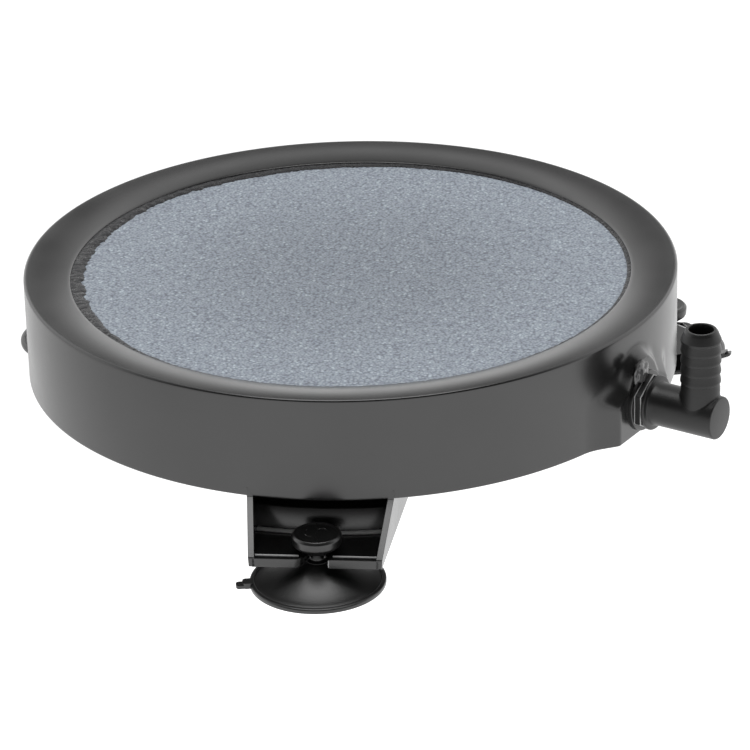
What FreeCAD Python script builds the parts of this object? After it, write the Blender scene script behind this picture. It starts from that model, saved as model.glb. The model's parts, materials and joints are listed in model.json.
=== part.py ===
"""Round pond air stone: a porous disc bonded into a plastic housing, fed with air
through a barbed elbow, standing on three suction cups.

Millimetres, +Z up. Every piece is first built about the disc's own axis with z = 0 at
the plane that the suction cups stand on. At the end the whole set moves sideways, so
that the origin is the centre of the bounding box's bottom face.
"""
import FreeCAD, Part
import math
import os

from FreeCAD import Placement, Rotation, Vector

# ---- housing: driving dimensions ----
DISC_R = 100.0          # outer radius
RIM_Z = 53.2            # rim's outer top edge above the rest plane
WALL_BOTTOM_Z = 21.2    # lower edge of the outer wall
SHELL_T = 2.4           # moulded wall thickness
RIM_INNER_R = 85.8      # inner edge of the funnel-shaped rim
RIM_DROP = 2.1          # fall of the rim from its outer to its inner edge
RIM_SAG = 0.2           # the rim's face is slightly dished
RIM_EDGE_R = 0.8        # rounding of the rim's outer edge
RIM_LIP_R = 0.5         # rounding of the rim's inner edge
WALL_EDGE_R = 0.4       # rounding of the wall's lower edge

# ---- stone, its ledge and the air chamber under it ----
STONE_R = 85.1
STONE_TOP_Z = 50.2
STONE_BOTTOM_Z = 36.4
STONE_EDGE = 0.8        # chamfer round both faces of the stone
BED_T = 0.6             # adhesive under the stone's edge
LEDGE_W = 3.3           # width of the ledge that carries the stone
FLOOR_TOP_Z = 25.7      # chamber floor
FLOOR_BOTTOM_Z = 23.3
POST_R = 4.0            # posts that hold up the middle of the stone
POST_RING_R = 46.0
POST_COUNT = 6
POST_GAP = 0.2          # between a post and the stone
BEAD_H = 0.4            # the sealant stands this far above the stone's face

# ---- feet ----
FOOT_ANGLES = {"front": -95.8, "right": 24.2, "left": 144.2}
TAB_ANGLES = {"front": 185.0, "right": -22.0, "left": 84.0}   # direction of each pull tab
CUP_AXIS_R = 109.5      # suction cup axis, from the disc axis
LIP_R = 115.7           # front face of the foot
FOOT_INNER_R = 70.0     # inner end of the foot's two side ribs
LIP_HALF_W = 19.1       # half width of the foot at its front face
FOOT_TAPER = 0.08       # half width gained per millimetre towards the disc
FOOT_DRAFT = 0.057      # half width gained per millimetre of height
FOOT_SIDE_T = 1.8
FOOT_BOTTOM_Z = 7.6
FOOT_FLOOR_T = 1.9
LIP_TOP_Z = 10.3
LIP_T = 2.3
LIP_EDGE_R = 0.4
SIDE_TOP_R = 98.2       # where the foot's sloping side edges leave the wall
BACK_FOOT_R = 97.8      # curved wall at the back of the foot's pocket, at its base
BACK_TOP_R = 95.4       # the same wall at its top, where it leans in
BACK_WALL_T = 2.0
BACK_WALL_TOP_Z = 16.6
SHELF_T = 1.8           # the shelf runs from the back wall's top in to the chamber
BACK_BEAD_R = 0.7       # bead along the foot of that wall
NECK_SLOT_HALF_W = 2.3  # round seat of the neck
SLOT_MOUTH_HALF_W = 3.7
MOUTH_CORNER_R = 2.4    # rounding of one side of the slot's mouth

# ---- suction cups ----
CUP_R = 19.7
CUP_EDGE_H = 0.9        # height of the cup's rim
CUP_SEAT_W = 1.3        # flat ring that the cup stands on
CUP_INNER_TOP_Z = 2.8   # top of the hollow under the cup
CUP_INNER_MID_Z = 1.4   # height of the hollow half way out
CONE_TOP_Z = 7.2        # the foot rests on this shoulder
CONE_TOP_R = 3.2
CONE_MID_R = 7.6        # the cone flares like a trumpet through this point
CONE_MID_Z = 3.6
NECK_R = 1.95
HEAD_BOTTOM_Z = 9.9
HEAD_BOTTOM_R = 3.4
HEAD_TOP_R = 6.85       # the face is a little smaller than the head's widest part
HEAD_WIDE_DROP = 0.9    # from the face down to the widest part
HEAD_SIDE_Z = 13.6      # the head's underside tapers out up to this height
HEAD_TOP_Z = 16.0
HEAD_R = 7.25
HEAD_EDGE_R = 0.4
HEAD_GROOVE_W = 0.9     # groove across the head's face
HEAD_GROOVE_D = 0.7
TAB_W = 3.0
TAB_STEPS = ((2.1, 1.7), (3.9, 0.9))   # reach beyond the rim, height
TAB_EDGE_R = 0.6

# ---- air inlet ----
INLET_ANGLE = -33.5     # direction of the inlet, from the disc axis
INLET_Z = 30.7          # height of the inlet's axis
BOSS_FACE_R = 103.3     # flat face of the boss
BOSS_ROOT_R = 95.0      # inner end of the boss's sloping sides
# half outlines of the boss, across and up: its flat face, and its root inside the wall
BOSS_FACE = ((14.2, 21.2), (14.2, 33.0), (8.4, 36.4), (6.4, 40.6), (2.6, 44.0))
BOSS_ROOT = ((24.6, 21.2), (24.6, 38.0), (16.5, 45.5), (12.0, 48.5), (5.0, 50.5))
BOSS_TAIL = 12.0        # the boss is shaped this far below the wall, then trimmed off
BOSS_BLEND_R = 5.0      # hollow blend between the wall and the boss
BOSS_EDGE_R = 1.6       # rounding of the boss's front edges
DUCT_R = 9.5            # sleeve from the boss to the chamber
THREAD_BORE_R = 6.58
THREAD_END_R = 88.0     # inner end of the threaded bore, from the disc axis
AIR_BORE_R = 4.0
SHANK_R = 6.5
SHANK_END_GAP = 1.0     # between the shank's end and the bottom of its bore
THREAD_PITCH = 1.5
THREAD_DEPTH = 0.5
THREAD_FLANK = 0.525    # length of each ridge's sloping side
GASKET_R = 9.2
GASKET_T = 1.0
NUT_ACROSS_FLATS = 15.5
NUT_T = 2.2
NUT_SIDES = 6
NUT_CHAMFER = 0.7
COLLAR_R = 8.3
COLLAR_T = 0.8
RUNNING_GAP = 0.05      # between the collar and the lock nut
TUBE_R = 6.5
TUBE_END_R = 128.7      # closed end of the tube, from the disc axis
TUBE_EDGE_R = 0.5
TUBE_END_T = 2.2
SPIGOT_AXIS_R = 122.1   # spigot axis, from the disc axis
SPIGOT_R = 6.0          # crest of the barbs
STEM_R = 5.8            # plain stem below the barbs
SPIGOT_TOP_Z = 57.9
SPIGOT_TIP_R = 5.0
SPIGOT_TIP_H = 2.2
SPIGOT_BORE_R = 3.7
BARB_COUNT = 5
BARB_PITCH = 3.2
BARB_ROOT_R = 5.55
BARB_LAND = 0.7         # straight length at each barb's crest
BARB_BACK = 0.2         # length of each barb's steep back

# ---- values that follow from them ----
RIM_INNER_Z = RIM_Z - RIM_DROP
WALL_INNER_R = DISC_R - SHELL_T
LEDGE_INNER_R = RIM_INNER_R - LEDGE_W
LEDGE_Z = STONE_BOTTOM_Z - BED_T
FOOT_FLOOR_Z = FOOT_BOTTOM_Z + FOOT_FLOOR_T
GASKET_END_R = BOSS_FACE_R + GASKET_T
NUT_END_R = GASKET_END_R + NUT_T
COLLAR_START_R = NUT_END_R + RUNNING_GAP
COLLAR_END_R = COLLAR_START_R + COLLAR_T
NUT_CORNER_R = NUT_ACROSS_FLATS / 2 / math.cos(math.pi / NUT_SIDES)
UP = Vector(0, 0, 1)
FULL_TURN = 360
OVERRUN = 2.0           # extra length on a cutting tool
NEAR = 0.05             # an edge this close to a surface lies on it
BOND = 1.0              # how far two portions of one moulding run into each other


# ---- small helpers ----
def polygon(points):
    """Closed wire of straight edges through 3-D points."""
    return Part.makePolygon(list(points) + [points[0]])


def line(a, b):
    return Part.LineSegment(a, b).toShape()


def arc(a, middle, b):
    return Part.Arc(a, middle, b).toShape()


def revolve(edges_or_points, axis=UP):
    """Solid of revolution from a closed outline in the XZ plane, about Z."""
    if isinstance(edges_or_points[0], Vector):
        wire = polygon(edges_or_points)
    else:
        wire = Part.Wire(edges_or_points)
    solid = Part.Face(wire).revolve(Vector(0, 0, 0), axis, FULL_TURN)
    if solid.Volume < 0:
        solid.reverse()
    return solid


def section(points):
    """Points (r, z) as vectors in the XZ plane."""
    return [Vector(r, 0, z) for r, z in points]


def prism(points_xy, z_low, z_high):
    """Vertical prism over a plan outline."""
    face = Part.Face(polygon([Vector(x, y, z_low) for x, y in points_xy]))
    return face.extrude(Vector(0, 0, z_high - z_low))


def tube_between(r_outer, r_inner, z_low, z_high):
    """Vertical ring about the disc axis."""
    outer = Part.makeCylinder(r_outer, z_high - z_low, Vector(0, 0, z_low))
    inner = Part.makeCylinder(r_inner, z_high - z_low, Vector(0, 0, z_low))
    return outer.cut(inner)


def turned(shape, angle):
    """Copy of a shape turned about the disc axis."""
    return shape.transformed(Placement(Vector(), Rotation(UP, angle)).toMatrix())


def along_inlet(shape):
    """Carry a shape built about Z onto the inlet's axis, Z becoming the outward radius."""
    lay_down = Placement(Vector(0, 0, INLET_Z), Rotation(Vector(0, 1, 0), 90))
    return turned(shape.transformed(lay_down.toMatrix()), INLET_ANGLE)


def disc(radius, start, end):
    """Cylinder about Z between two heights."""
    return Part.makeCylinder(radius, end - start, Vector(0, 0, start))


def check(name, shape):
    """Stop if a piece isn't one closed solid."""
    solids = len(shape.Solids)
    if solids != 1 or not shape.isValid() or shape.Volume < 0:
        raise ValueError("%s: %d solids, volume %.1f" % (name, solids, shape.Volume))
    return shape.Solids[0]


# ---- housing ----
def rounded_corner(corner, before, after, radius):
    """Arc of the given radius between the two lines that meet at a corner."""
    a = (before - corner).normalize()
    b = (after - corner).normalize()
    half = a.getAngle(b) / 2
    reach = radius / math.tan(half)
    centre = corner + (a + b).normalize() * (radius / math.sin(half))
    nearest = centre + (corner - centre).normalize() * radius
    return corner + a * reach, nearest, corner + b * reach


def housing_shell():
    """Outer wall, dished rim, cup for the stone and chamber floor, as one revolved shell."""
    outer_top = Vector(DISC_R, 0, RIM_Z)
    outer_low = Vector(DISC_R, 0, WALL_BOTTOM_Z)
    wall_low = Vector(WALL_INNER_R, 0, WALL_BOTTOM_Z)
    inner_top = Vector(RIM_INNER_R, 0, RIM_INNER_Z)
    ledge_out = Vector(RIM_INNER_R, 0, LEDGE_Z)
    rim = rounded_corner(outer_top, inner_top, outer_low, RIM_EDGE_R)
    lip = rounded_corner(inner_top, ledge_out, outer_top, RIM_LIP_R)
    foot_edge = rounded_corner(outer_low, outer_top, wall_low, WALL_EDGE_R)
    rim_middle = (lip[2] + rim[0]) * 0.5 - Vector(0, 0, RIM_SAG)
    under = section([
        (WALL_INNER_R, RIM_Z - SHELL_T - RIM_DROP * SHELL_T / (DISC_R - RIM_INNER_R)),
        (RIM_INNER_R + SHELL_T, RIM_INNER_Z - SHELL_T),
        (RIM_INNER_R + SHELL_T, LEDGE_Z - SHELL_T),
        (LEDGE_INNER_R + SHELL_T, LEDGE_Z - SHELL_T),
        (LEDGE_INNER_R + SHELL_T, FLOOR_BOTTOM_Z),
        (0, FLOOR_BOTTOM_Z),
        (0, FLOOR_TOP_Z),
        (LEDGE_INNER_R, FLOOR_TOP_Z),
        (LEDGE_INNER_R, LEDGE_Z),
        (RIM_INNER_R, LEDGE_Z),
    ])
    edges = [
        line(ledge_out, lip[0]),
        arc(lip[0], lip[1], lip[2]),
        arc(lip[2], rim_middle, rim[0]),
        arc(rim[0], rim[1], rim[2]),
        line(rim[2], foot_edge[0]),
        arc(foot_edge[0], foot_edge[1], foot_edge[2]),
        line(foot_edge[2], wall_low),
        line(wall_low, under[0]),
    ]
    edges += [line(a, b) for a, b in zip(under, under[1:])]
    return revolve(edges)


def support_posts():
    """Posts on the chamber floor: one in the middle and a ring round it."""
    spots = [Vector(0, 0, 0)]
    for i in range(POST_COUNT):
        angle = math.radians(i * FULL_TURN / POST_COUNT)
        spots.append(Vector(POST_RING_R * math.cos(angle), POST_RING_R * math.sin(angle), 0))
    height = STONE_BOTTOM_Z - POST_GAP - FLOOR_BOTTOM_Z
    return [Part.makeCylinder(POST_R, height, spot + Vector(0, 0, FLOOR_BOTTOM_Z)) for spot in spots]


def foot_block(inner_r, outer_r, inset, z_low, z_high):
    """Block along +X between two radii and heights that follows the foot's taper and draft."""
    outlines = []
    for z in (z_low, z_high):
        corners = []
        for r in (inner_r, outer_r):
            half = LIP_HALF_W + (LIP_R - r) * FOOT_TAPER + (z - FOOT_BOTTOM_Z) * FOOT_DRAFT - inset
            corners.append((r, half))
        (r0, w0), (r1, w1) = corners
        plan = [Vector(r0, -w0, z), Vector(r1, -w1, z), Vector(r1, w1, z), Vector(r0, w0, z)]
        outlines.append(polygon(plan))
    return Part.makeLoft(outlines, True, True)


def neck_slot():
    """Slot in the foot's floor, along +X: a round seat for the neck, a mouth rounded on one side."""
    past = LIP_R + OVERRUN
    front = SLOT_MOUTH_HALF_W + MOUTH_CORNER_R
    diagonal = MOUTH_CORNER_R * (1 - math.sqrt(0.5))
    square_seat = Vector(CUP_AXIS_R, NECK_SLOT_HALF_W, 0)
    square_side = Vector(past, SLOT_MOUTH_HALF_W, 0)
    round_seat = Vector(CUP_AXIS_R, -NECK_SLOT_HALF_W, 0)
    corner_in = Vector(LIP_R - MOUTH_CORNER_R, -SLOT_MOUTH_HALF_W, 0)
    corner_mid = Vector(LIP_R - diagonal, -SLOT_MOUTH_HALF_W - diagonal, 0)
    corner_out = Vector(LIP_R, -front, 0)
    outside = Vector(past, -front, 0)
    edges = [
        line(square_seat, square_side),
        line(square_side, outside),
        line(outside, corner_out),
        arc(corner_out, corner_mid, corner_in),
        line(corner_in, round_seat),
        arc(round_seat, Vector(CUP_AXIS_R - NECK_SLOT_HALF_W, 0, 0), square_seat),
    ]
    face = Part.Face(Part.Wire(edges))
    face.translate(Vector(0, 0, FOOT_BOTTOM_Z - OVERRUN))
    return face.extrude(Vector(0, 0, LIP_TOP_Z - FOOT_BOTTOM_Z + 2 * OVERRUN))


def foot():
    """One foot along +X: two side ribs, a slotted floor with a raised lip, a leaning back wall
    and a shelf from that wall in to a plate under the chamber."""
    joint_z = FLOOR_BOTTOM_Z + SHELL_T / 4
    under_wall_r = SIDE_TOP_R - BOND
    side_view = [
        (FOOT_INNER_R, FOOT_BOTTOM_Z),
        (LIP_R, FOOT_BOTTOM_Z),
        (LIP_R, LIP_TOP_Z),
        (SIDE_TOP_R, WALL_BOTTOM_Z),
        (under_wall_r, WALL_BOTTOM_Z),
        (under_wall_r, joint_z),
        (FOOT_INNER_R, joint_z),
    ]
    half_span = 2 * LIP_HALF_W
    profile = Part.Face(polygon([Vector(r, -half_span, z) for r, z in side_view]))
    block = profile.extrude(Vector(0, 2 * half_span, 0))
    block = block.common(foot_block(FOOT_INNER_R, LIP_R, 0, FOOT_BOTTOM_Z, joint_z))
    channel = foot_block(FOOT_INNER_R - OVERRUN, LIP_R + OVERRUN, FOOT_SIDE_T,
                         FOOT_BOTTOM_Z - OVERRUN, joint_z + OVERRUN)
    sides = block.cut(channel)

    bond = FOOT_SIDE_T / 2
    floor = foot_block(FOOT_INNER_R, LIP_R, bond, FOOT_BOTTOM_Z, FOOT_FLOOR_Z)
    floor = floor.cut(disc(BACK_FOOT_R - BACK_WALL_T, 0, RIM_Z))
    lip = foot_block(LIP_R - LIP_T, LIP_R, bond, FOOT_BOTTOM_Z, LIP_TOP_Z)
    lip = lip.makeFillet(LIP_EDGE_R, [e for e in lip.Edges if on_lip_line(e)])
    between = foot_block(FOOT_INNER_R, LIP_R, bond, FOOT_BOTTOM_Z, joint_z)
    bead = Part.makeTorus(BACK_FOOT_R, BACK_BEAD_R, Vector(0, 0, FOOT_FLOOR_Z + BACK_BEAD_R / 2))
    back = [foot_back().common(between), bead.common(between)]
    return sides.fuse([floor, lip] + back).cut(neck_slot()).removeSplitter()


def on_lip_line(edge):
    """True for the lip's two long top edges."""
    low = edge.BoundBox
    return low.ZMin > LIP_TOP_Z - NEAR and low.YLength > LIP_HALF_W


def foot_back():
    """Ring whose section is the leaning back wall, the shelf behind it and the inner plate."""
    plate_r = LEDGE_INNER_R + SHELL_T
    shelf_z = BACK_WALL_TOP_Z - SHELF_T
    lean = (BACK_FOOT_R - BACK_TOP_R) * SHELF_T / (BACK_WALL_TOP_Z - FOOT_FLOOR_Z)
    inner_top = BACK_TOP_R + lean - BACK_WALL_T
    return revolve(section([
        (BACK_FOOT_R, FOOT_BOTTOM_Z),
        (BACK_FOOT_R, FOOT_FLOOR_Z),
        (BACK_TOP_R, BACK_WALL_TOP_Z),
        (plate_r, BACK_WALL_TOP_Z),
        (plate_r, FLOOR_BOTTOM_Z + SHELL_T / 2),
        (LEDGE_INNER_R, FLOOR_BOTTOM_Z + SHELL_T / 2),
        (LEDGE_INNER_R, shelf_z),
        (inner_top, shelf_z),
        (BACK_FOOT_R - BACK_WALL_T, FOOT_FLOOR_Z),
        (BACK_FOOT_R - BACK_WALL_T, FOOT_BOTTOM_Z),
    ]))


def boss_wire(half_outline, radius):
    """Closed outline at one distance from the disc axis, along +X, running on below the wall."""
    (low_v, low_z), *rest = half_outline
    right = [Vector(radius, low_v, low_z - BOSS_TAIL)] + [Vector(radius, v, z) for v, z in rest]
    left = [Vector(p.x, -p.y, p.z) for p in reversed(right)]
    return polygon(right + left)


def inlet_boss():
    """Swelling on the wall that ends in a flat face for the inlet's gasket, along +X."""
    drum = disc(DISC_R, WALL_BOTTOM_Z - BOSS_TAIL - OVERRUN, RIM_Z - RIM_EDGE_R)
    ends = [boss_wire(BOSS_ROOT, BOSS_ROOT_R), boss_wire(BOSS_FACE, BOSS_FACE_R)]
    sides = Part.makeLoft(ends, True, True)
    body = drum.fuse(sides)
    body = body.makeFillet(BOSS_BLEND_R, [e for e in body.Edges if on_wall_line(e)])
    body = body.makeFillet(BOSS_EDGE_R, [e for e in body.Edges if on_face_line(e)])
    half_span = BOSS_ROOT[0][0] + BOSS_BLEND_R
    near = Part.makeBox(DISC_R, 2 * half_span, RIM_Z, Vector(DISC_R / 2, -half_span, WALL_BOTTOM_Z))
    return body.common(near).cut(disc(WALL_INNER_R, 0, RIM_Z))


def edge_middle(edge):
    return edge.valueAt((edge.FirstParameter + edge.LastParameter) / 2)


def on_wall_line(edge):
    """True where the boss's sloping sides meet the outside of the wall."""
    middle = edge_middle(edge)
    on_wall = abs(math.hypot(middle.x, middle.y) - DISC_R) < NEAR
    beside = abs(middle.y) < BOSS_ROOT[0][0] + BOND and middle.x > 0
    inside = WALL_BOTTOM_Z - BOSS_TAIL + NEAR < middle.z < RIM_Z - RIM_EDGE_R - NEAR
    return on_wall and beside and inside


def on_face_line(edge):
    """True for the outline of the boss's flat face, without its lower end."""
    middle = edge_middle(edge)
    return abs(middle.x - BOSS_FACE_R) < NEAR and middle.z > WALL_BOTTOM_Z - BOSS_TAIL + NEAR


def inlet_bores():
    """Threaded bore through the boss and the air passage into the chamber."""
    thread = disc(THREAD_BORE_R, THREAD_END_R, BOSS_FACE_R + OVERRUN)
    passage = disc(AIR_BORE_R, LEDGE_INNER_R - OVERRUN, THREAD_END_R + OVERRUN)
    return along_inlet(thread.fuse(passage))


def housing():
    """The whole housing moulding."""
    body = housing_shell().fuse(turned(inlet_boss(), INLET_ANGLE)).removeSplitter()
    duct = along_inlet(disc(DUCT_R, LEDGE_INNER_R + BOND, WALL_INNER_R + BOND))
    duct = duct.cut(disc(RIM_INNER_R, LEDGE_Z, RIM_Z))
    pieces = [duct] + support_posts()
    pieces += [turned(foot(), angle) for angle in FOOT_ANGLES.values()]
    body = body.fuse(pieces).cut(inlet_bores())
    return check("housing", body.removeSplitter())


# ---- stone and its adhesive ----
def stone_disc():
    inner = STONE_R - STONE_EDGE
    outline = section([
        (0, STONE_BOTTOM_Z),
        (inner, STONE_BOTTOM_Z),
        (STONE_R, STONE_BOTTOM_Z + STONE_EDGE),
        (STONE_R, STONE_TOP_Z - STONE_EDGE),
        (inner, STONE_TOP_Z),
        (0, STONE_TOP_Z),
    ])
    return check("stone_disc", revolve(outline))


def sealant_ring():
    """Adhesive that beds the stone on its ledge, fills the gap round it and stands up as a bead."""
    inner = STONE_R - STONE_EDGE
    bead_top = STONE_TOP_Z + BEAD_H
    outline = section([
        (LEDGE_INNER_R, LEDGE_Z),
        (RIM_INNER_R, LEDGE_Z),
        (RIM_INNER_R, bead_top),
        (STONE_R, bead_top),
        (inner, STONE_TOP_Z),
        (STONE_R, STONE_TOP_Z - STONE_EDGE),
        (STONE_R, STONE_BOTTOM_Z + STONE_EDGE),
        (inner, STONE_BOTTOM_Z),
        (LEDGE_INNER_R, STONE_BOTTOM_Z),
    ])
    return check("sealant_ring", revolve(outline))


# ---- suction cups ----
def suction_cup():
    """One rubber moulding about Z: head, neck, flared cone and the hollow under it."""
    edge_top = Vector(CUP_R, 0, CUP_EDGE_H)
    cone_top = Vector(CONE_TOP_R, 0, CONE_TOP_Z)
    seat_in = Vector(CUP_R - CUP_SEAT_W, 0, 0)
    roof = Vector(0, 0, CUP_INNER_TOP_Z)
    roof_middle = Vector(CUP_R / 2, 0, CUP_INNER_MID_Z)
    head_top = Vector(HEAD_TOP_R, 0, HEAD_TOP_Z)
    head_wide = Vector(HEAD_R, 0, HEAD_TOP_Z - HEAD_WIDE_DROP)
    head_side = Vector(HEAD_R, 0, HEAD_SIDE_Z)
    centre_top = Vector(0, 0, HEAD_TOP_Z)
    corner = rounded_corner(head_top, centre_top, head_wide, HEAD_EDGE_R)
    outline = [
        arc(roof, roof_middle, seat_in),
        line(seat_in, Vector(CUP_R, 0, 0)),
        line(Vector(CUP_R, 0, 0), edge_top),
        arc(edge_top, Vector(CONE_MID_R, 0, CONE_MID_Z), cone_top),
        line(cone_top, Vector(NECK_R, 0, CONE_TOP_Z)),
        line(Vector(NECK_R, 0, CONE_TOP_Z), Vector(NECK_R, 0, HEAD_BOTTOM_Z)),
        line(Vector(NECK_R, 0, HEAD_BOTTOM_Z), Vector(HEAD_BOTTOM_R, 0, HEAD_BOTTOM_Z)),
        line(Vector(HEAD_BOTTOM_R, 0, HEAD_BOTTOM_Z), head_side),
        line(head_side, head_wide),
        line(head_wide, corner[2]),
        arc(corner[2], corner[1], corner[0]),
        line(corner[0], centre_top),
        line(centre_top, roof),
    ]
    groove = Part.makeBox(2 * CUP_R, HEAD_GROOVE_W, HEAD_GROOVE_D + OVERRUN)
    groove.translate(Vector(-CUP_R, -HEAD_GROOVE_W / 2, HEAD_TOP_Z - HEAD_GROOVE_D))
    return revolve(outline).cut(groove)


def pull_tab():
    """Stepped tab on the cup's rim, along +X."""
    root = CUP_R - CUP_SEAT_W / 2
    steps = []
    for reach, height in TAB_STEPS:
        step = Part.makeBox(CUP_R + reach - root, TAB_W, height)
        step.translate(Vector(root, -TAB_W / 2, 0))
        steps.append(step)
    tab = steps[0].fuse(steps[1:]).removeSplitter()
    upright = [e for e in tab.Edges if e.BoundBox.ZLength > 0 and e.BoundBox.XMin > CUP_R]
    return tab.makeFillet(TAB_EDGE_R, upright)


def cup_on_foot(side):
    """A suction cup in place in its foot."""
    cup = suction_cup().fuse(turned(pull_tab(), TAB_ANGLES[side])).removeSplitter()
    angle = math.radians(FOOT_ANGLES[side])
    cup.translate(Vector(CUP_AXIS_R * math.cos(angle), CUP_AXIS_R * math.sin(angle), 0))
    return check("suction_cup_" + side, cup)


# ---- air inlet ----
def inlet_gasket():
    ring = disc(GASKET_R, BOSS_FACE_R, GASKET_END_R).cut(disc(THREAD_BORE_R, BOSS_FACE_R, GASKET_END_R))
    return check("inlet_gasket", along_inlet(ring))


def lock_nut():
    """Hexagonal nut, corners up and down, its outer corners chamfered."""
    corners = []
    for i in range(NUT_SIDES):
        angle = 2 * math.pi * i / NUT_SIDES
        corners.append((NUT_CORNER_R * math.cos(angle), NUT_CORNER_R * math.sin(angle)))
    nut = prism(corners, GASKET_END_R, NUT_END_R)
    cone = revolve(section([
        (0, GASKET_END_R),
        (NUT_CORNER_R, GASKET_END_R),
        (NUT_CORNER_R, NUT_END_R - NUT_CHAMFER),
        (NUT_ACROSS_FLATS / 2 - NUT_CHAMFER / 2, NUT_END_R),
        (0, NUT_END_R),
    ]))
    nut = nut.common(cone).cut(disc(THREAD_BORE_R, GASKET_END_R - OVERRUN, NUT_END_R + OVERRUN))
    return check("lock_nut", along_inlet(nut))


def threaded_shank():
    """Shank with a ring of ridges at the thread's pitch, about Z."""
    start = THREAD_END_R + SHANK_END_GAP
    points = [(AIR_BORE_R, start), (SHANK_R - THREAD_DEPTH, start)]
    turns = int((COLLAR_START_R - start) / THREAD_PITCH)
    for i in range(turns):
        z = start + i * THREAD_PITCH
        points.append((SHANK_R, z + THREAD_FLANK))
        points.append((SHANK_R, z + THREAD_PITCH - THREAD_FLANK))
        points.append((SHANK_R - THREAD_DEPTH, z + THREAD_PITCH))
    points.append((SHANK_R - THREAD_DEPTH, COLLAR_START_R + COLLAR_T / 2))
    points.append((AIR_BORE_R, COLLAR_START_R + COLLAR_T / 2))
    return revolve(section(points))


def elbow_tube():
    """Collar and closed tube, about Z."""
    end = Vector(TUBE_R, 0, TUBE_END_R)
    tip = Vector(0, 0, TUBE_END_R)
    step = Vector(TUBE_R, 0, COLLAR_END_R)
    corner = rounded_corner(end, step, tip, TUBE_EDGE_R)
    edges = [
        line(Vector(0, 0, COLLAR_START_R), Vector(COLLAR_R, 0, COLLAR_START_R)),
        line(Vector(COLLAR_R, 0, COLLAR_START_R), Vector(COLLAR_R, 0, COLLAR_END_R)),
        line(Vector(COLLAR_R, 0, COLLAR_END_R), step),
        line(step, corner[0]),
        arc(corner[0], corner[1], corner[2]),
        line(corner[2], tip),
        line(tip, Vector(0, 0, COLLAR_START_R)),
    ]
    return revolve(edges)


def barbed_spigot():
    """Upright spigot about Z: plain stem, barbs and a tapered tip."""
    shoulder = SPIGOT_TOP_Z - SPIGOT_TIP_H
    points = [(0, SPIGOT_TOP_Z), (SPIGOT_TIP_R, SPIGOT_TOP_Z)]
    z = shoulder
    for _ in range(BARB_COUNT):
        points.append((SPIGOT_R, z))
        points.append((SPIGOT_R, z - BARB_LAND))
        points.append((BARB_ROOT_R, z - BARB_LAND - BARB_BACK))
        z -= BARB_PITCH
    points.append((STEM_R, z))
    points.append((STEM_R, INLET_Z))
    points.append((0, INLET_Z))
    return revolve(section(points))


def inlet_elbow():
    """The elbow moulding: threaded shank, collar, tube, spigot and the passage through them."""
    angle = math.radians(INLET_ANGLE)
    spigot_axis = Vector(SPIGOT_AXIS_R * math.cos(angle), SPIGOT_AXIS_R * math.sin(angle), 0)
    spigot = barbed_spigot()
    spigot.translate(spigot_axis)
    body = along_inlet(elbow_tube().fuse(threaded_shank()))
    across = along_inlet(disc(AIR_BORE_R, THREAD_END_R, TUBE_END_R - TUBE_END_T))
    upward = disc(SPIGOT_BORE_R, INLET_Z, SPIGOT_TOP_Z + OVERRUN)
    upward.translate(spigot_axis)
    elbow = body.fuse(spigot).cut(across.fuse(upward))
    return check("inlet_elbow", elbow.removeSplitter())


# ---- assembly ----
def all_pieces():
    pieces = {
        "housing": housing(),
        "stone_disc": stone_disc(),
        "sealant_ring": sealant_ring(),
        "inlet_gasket": inlet_gasket(),
        "lock_nut": lock_nut(),
        "inlet_elbow": inlet_elbow(),
    }
    for side in FOOT_ANGLES:
        pieces["suction_cup_" + side] = cup_on_foot(side)
    return pieces


def main():
    os.makedirs("parts", exist_ok=True)
    pieces = all_pieces()
    box = Part.makeCompound(list(pieces.values())).optimalBoundingBox()
    shift = Vector(-(box.XMin + box.XMax) / 2, -(box.YMin + box.YMax) / 2, -box.ZMin)
    for name, solid in pieces.items():
        solid.translate(shift)
        solid.exportStep("parts/%s.step" % name)
        print("%-20s %9.1f mm3" % (name, solid.Volume))
    print("disc axis at x %.3f y %.3f, bottom moved by %.3f" % (shift.x, shift.y, shift.z))
    print("size %.2f x %.2f x %.2f" % (box.XLength, box.YLength, box.ZLength))


main()
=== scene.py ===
"""Looks of a round pond air stone: a porous disc glued into a black plastic housing,
with a barbed air inlet on its side and three suction cups under it.

Shapes are worked out in millimetres about the disc's own axis, with z = 0 at the plane
that the cups stand on, and turned into metres where each mesh is made."""
import json
import math

import bmesh
import bpy
import numpy as np
from mathutils import Matrix, Vector, noise


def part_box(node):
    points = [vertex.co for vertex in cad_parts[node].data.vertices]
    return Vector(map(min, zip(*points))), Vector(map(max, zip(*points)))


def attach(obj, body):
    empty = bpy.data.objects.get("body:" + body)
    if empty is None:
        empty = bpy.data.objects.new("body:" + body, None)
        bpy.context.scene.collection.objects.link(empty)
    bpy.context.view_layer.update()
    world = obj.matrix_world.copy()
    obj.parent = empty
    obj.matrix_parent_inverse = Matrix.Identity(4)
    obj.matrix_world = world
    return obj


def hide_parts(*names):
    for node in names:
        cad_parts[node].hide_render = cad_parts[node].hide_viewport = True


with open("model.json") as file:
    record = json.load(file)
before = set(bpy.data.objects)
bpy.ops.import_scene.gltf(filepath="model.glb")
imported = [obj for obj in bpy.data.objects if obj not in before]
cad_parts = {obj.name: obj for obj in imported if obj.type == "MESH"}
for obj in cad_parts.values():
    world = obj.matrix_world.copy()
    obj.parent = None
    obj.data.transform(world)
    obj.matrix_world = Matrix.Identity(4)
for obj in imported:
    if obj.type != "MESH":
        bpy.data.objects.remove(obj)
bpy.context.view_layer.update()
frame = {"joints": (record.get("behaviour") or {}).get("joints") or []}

MM = 0.001
TAU = 2 * math.pi

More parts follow.
